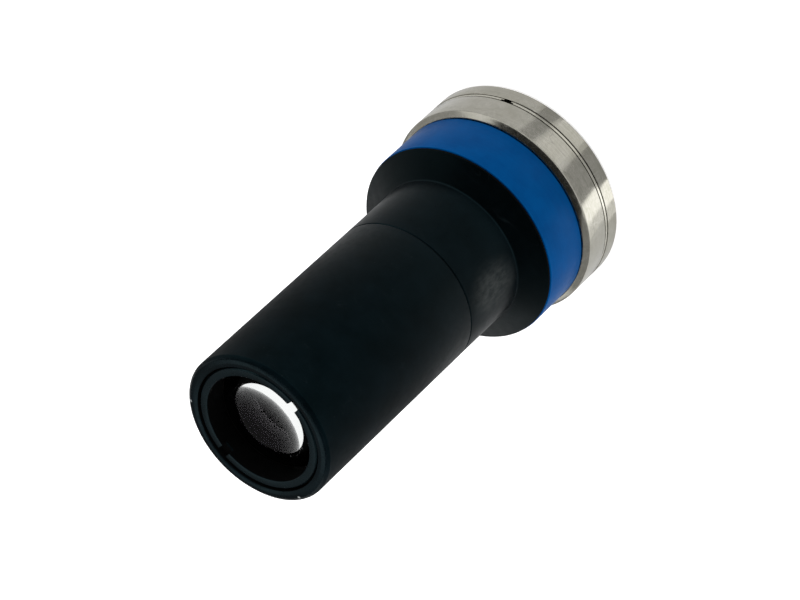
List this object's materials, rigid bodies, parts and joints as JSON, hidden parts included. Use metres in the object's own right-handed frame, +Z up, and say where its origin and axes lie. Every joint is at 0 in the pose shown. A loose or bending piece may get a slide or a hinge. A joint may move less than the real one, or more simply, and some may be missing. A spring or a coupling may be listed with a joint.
{
  "type": "bi-telecentric lens",
  "caption": "Telecentric inspection lens: slim black rear barrel with domed glass behind a slotted ring, conical shoulder, blue band and wide nickel front rings.",
  "frame": {"origin": "centre of the front face on the optical axis, on the surface that the lens stands on", "axes": "+Z up the optical axis, from the large front end to the small rear end; the two spanner slots of the rear ring lie along Y"},
  "size_m": [0.061, 0.061, 0.1209],
  "materials": {
    "black_anodised": "satin black anodised",
    "blue_anodised": "satin blue anodised",
    "nickel": "polished nickel plate, lightly stained",
    "spring_steel": "bright spring steel",
    "coated_glass": "polished, anti-reflection coated"
  },
  "bodies": {
    "root": {"front_ring": "nickel", "split_ring": "spring_steel", "bezel": "nickel", "colour_band": "blue_anodised", "head_housing": "black_anodised", "rear_barrel": "black_anodised", "rear_retaining_ring": "black_anodised", "rear_lens": "coated_glass", "front_lens": "coated_glass", "front_retaining_ring": "black_anodised", "front_spacer": "black_anodised", "objective_crown": "coated_glass", "objective_flint": "coated_glass", "stop_carrier": "black_anodised", "aperture_stop": "spring_steel", "stop_retaining_ring": "black_anodised", "relay_crown": "coated_glass", "relay_flint": "coated_glass", "relay_retaining_ring": "black_anodised", "field_crown": "coated_glass", "field_flint": "coated_glass", "rear_spacer": "black_anodised"}
  },
  "joints": []
}
